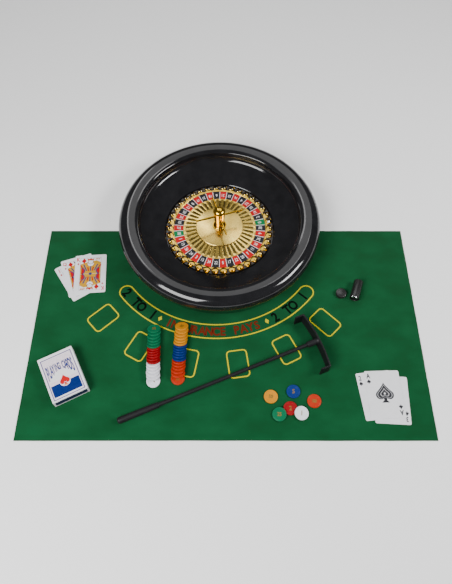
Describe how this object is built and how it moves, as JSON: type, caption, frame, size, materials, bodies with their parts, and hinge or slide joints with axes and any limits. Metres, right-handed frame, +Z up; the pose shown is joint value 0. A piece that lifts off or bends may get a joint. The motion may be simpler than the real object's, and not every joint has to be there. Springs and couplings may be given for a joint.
{
  "type": "table-top roulette set",
  "caption": "Table-top roulette set: a bowl with a spinning gold rotor and turret on a printed felt layout, with rake, chips, cards, card box and ball tube laid out.",
  "frame": {"origin": "middle of the whole laid-out set's footprint, on the table top", "axes": "+X to the player's right along the cloth's long side, +Y away from the player towards the wheel, +Z up along the wheel's axis"},
  "size_m": [0.736, 0.6345, 0.085],
  "materials": {
    "felt": "green felt with yellow, black and dark red print",
    "gloss_black": "polished black moulding",
    "matt_black": "plain black moulding",
    "rubber": "moulded black rubber",
    "steel": "turned steel",
    "ball_steel": "polished bearing steel",
    "bronze": "sintered bronze",
    "gold_disc": "gold-plated, satin with bright ribs",
    "gold_plate": "bright gold plating",
    "number_print": "printed red, black and green cells with white numbers",
    "rake_black": "black moulding, semi-gloss",
    "box_card": "printed coated carton",
    "card_stock": "coated playing-card stock",
    "tube_black": "black moulding",
    "chip_white": "moulded, satin",
    "chip_dark_red": "moulded, satin",
    "chip_green": "moulded, satin",
    "chip_red": "moulded, satin",
    "chip_blue": "moulded, satin",
    "chip_orange": "moulded, satin"
  },
  "bodies": {
    "layout_cloth": {"felt_mat": "felt"},
    "wheel": {"outer_rim": "gloss_black", "inner_bowl": "gloss_black", "base_plate": "matt_black", "rubber_feet": "rubber", "base_screws": "steel", "spindle": "steel", "spindle_washer": "steel", "spindle_nut": "steel", "spindle_clip": "steel", "bearing_inner_race": "steel"},
    "ball_cage": {"bearing_balls": "ball_steel", "bearing_cage": "bronze"},
    "rotor": {"bearing_outer_race": "steel", "rotor_hub": "matt_black", "rotor_disc": "gold_disc", "number_ring": "number_print", "pocket_ring": "gold_plate", "turret_column": "gold_plate", "turret_bush": "bronze", "turret_arms": "gold_plate", "turret_cap": "gold_plate"},
    "ball_in_play": {"roulette_ball": "ball_steel"},
    "rake": {"rake_head": "rake_black", "rake_rod": "rake_black", "rake_grip": "rake_black"},
    "card_pack": {"card_box": "box_card", "card_deck": "card_stock"},
    "pack_flap": {"card_box_flap": "box_card"},
    "ball_case": {"ball_tube": "tube_black"},
    "ball_case_lid": {"ball_tube_cap": "tube_black"},
    "spare_left": {"spare_ball_left": "ball_steel"},
    "spare_right": {"spare_ball_right": "ball_steel"},
    "jack": {"jack_of_diamonds": "card_stock"},
    "queen": {"queen_of_diamonds": "card_stock"},
    "king": {"king_of_diamonds": "card_stock"},
    "three": {"three_of_spades": "card_stock"},
    "two": {"two_of_spades": "card_stock"},
    "ace": {"ace_of_spades": "card_stock"},
    "white_row": {"white_chip_row": "chip_white"},
    "dark_red_row": {"dark_red_chip_row": "chip_dark_red"},
    "green_row": {"green_chip_row": "chip_green"},
    "red_row": {"red_chip_row": "chip_red"},
    "blue_row": {"blue_chip_row": "chip_blue"},
    "orange_row": {"orange_chip_row": "chip_orange"},
    "orange_chip": {"loose_orange_chip": "chip_orange"},
    "blue_chip": {"loose_blue_chip": "chip_blue"},
    "red_chip": {"loose_red_chip": "chip_red"},
    "dark_red_chip": {"loose_dark_red_chip": "chip_dark_red"},
    "green_chip": {"loose_green_chip": "chip_green"},
    "white_chip": {"loose_white_chip": "chip_white"}
  },
  "joints": [
    {"name": "wheel_lift", "type": "slide", "parent": "layout_cloth", "child": "wheel", "axis": [0, 0, 1], "range_m": [0, 0.12]},
    {"name": "rotor_spin", "type": "hinge", "parent": "wheel", "child": "rotor", "pos_m": [-0.013, 0.11425, 0.022], "axis": [0, 0, 1], "continuous": true},
    {"name": "bearing_cage_spin", "type": "hinge", "parent": "wheel", "child": "ball_cage", "pos_m": [-0.013, 0.11425, 0.022], "axis": [0, 0, 1], "continuous": true},
    {"name": "ball_lift", "type": "slide", "parent": "rotor", "child": "ball_in_play", "axis": [0, 0, 1], "range_m": [0, 0.1]},
    {"name": "rake_lift", "type": "slide", "parent": "layout_cloth", "child": "rake", "axis": [0, 0, 1], "range_m": [0, 0.12]},
    {"name": "card_pack_lift", "type": "slide", "parent": "layout_cloth", "child": "card_pack", "axis": [0, 0, 1], "range_m": [0, 0.12]},
    {"name": "flap_open", "type": "hinge", "parent": "card_pack", "child": "pack_flap", "pos_m": [-0.31445, -0.16261, 0.0017], "axis": [-0.891, -0.454, 0], "range_deg": [0, 90]},
    {"name": "ball_case_lift", "type": "slide", "parent": "layout_cloth", "child": "ball_case", "axis": [0, 0, 1], "range_m": [0, 0.12]},
    {"name": "lid_lift", "type": "slide", "parent": "layout_cloth", "child": "ball_case_lid", "axis": [0, 0, 1], "range_m": [0, 0.12]},
    {"name": "spare_left_slide", "type": "slide", "parent": "ball_case", "child": "spare_left", "axis": [-0.3289, -0.9444, 0], "range_m": [0, 0.03]},
    {"name": "spare_right_slide", "type": "slide", "parent": "ball_case", "child": "spare_right", "axis": [-0.3289, -0.9444, 0], "range_m": [0, 0.03]},
    {"name": "jack_lift", "type": "slide", "parent": "layout_cloth", "child": "jack", "axis": [0, 0, 1], "range_m": [0, 0.06]},
    {"name": "queen_lift", "type": "slide", "parent": "jack", "child": "queen", "axis": [0, 0, 1], "range_m": [0, 0.06]},
    {"name": "king_lift", "type": "slide", "parent": "queen", "child": "king", "axis": [0, 0, 1], "range_m": [0, 0.06]},
    {"name": "three_lift", "type": "slide", "parent": "layout_cloth", "child": "three", "axis": [0, 0, 1], "range_m": [0, 0.06]},
    {"name": "two_lift", "type": "slide", "parent": "three", "child": "two", "axis": [0, 0, 1], "range_m": [0, 0.06]},
    {"name": "ace_lift", "type": "slide", "parent": "two", "child": "ace", "axis": [0, 0, 1], "range_m": [0, 0.06]},
    {"name": "white_row_lift", "type": "slide", "parent": "layout_cloth", "child": "white_row", "axis": [0, 0, 1], "range_m": [0, 0.06]},
    {"name": "dark_red_row_lift", "type": "slide", "parent": "white_row", "child": "dark_red_row", "axis": [0, 0, 1], "range_m": [0, 0.06]},
    {"name": "green_row_lift", "type": "slide", "parent": "dark_red_row", "child": "green_row", "axis": [0, 0, 1], "range_m": [0, 0.06]},
    {"name": "red_row_lift", "type": "slide", "parent": "layout_cloth", "child": "red_row", "axis": [0, 0, 1], "range_m": [0, 0.06]},
    {"name": "blue_row_lift", "type": "slide", "parent": "red_row", "child": "blue_row", "axis": [0, 0, 1], "range_m": [0, 0.06]},
    {"name": "orange_row_lift", "type": "slide", "parent": "blue_row", "child": "orange_row", "axis": [0, 0, 1], "range_m": [0, 0.06]},
    {"name": "orange_chip_lift", "type": "slide", "parent": "layout_cloth", "child": "orange_chip", "axis": [0, 0, 1], "range_m": [0, 0.06]},
    {"name": "blue_chip_lift", "type": "slide", "parent": "layout_cloth", "child": "blue_chip", "axis": [0, 0, 1], "range_m": [0, 0.06]},
    {"name": "red_chip_lift", "type": "slide", "parent": "layout_cloth", "child": "red_chip", "axis": [0, 0, 1], "range_m": [0, 0.06]},
    {"name": "dark_red_chip_lift", "type": "slide", "parent": "layout_cloth", "child": "dark_red_chip", "axis": [0, 0, 1], "range_m": [0, 0.06]},
    {"name": "green_chip_lift", "type": "slide", "parent": "dark_red_chip", "child": "green_chip", "axis": [0, 0, 1], "range_m": [0, 0.06]},
    {"name": "white_chip_lift", "type": "slide", "parent": "dark_red_chip", "child": "white_chip", "axis": [0, 0, 1], "range_m": [0, 0.06]}
  ],
  "couplings": [
    {"joint": "bearing_cage_spin", "follows": "rotor_spin", "ratio": 0.632}
  ]
}
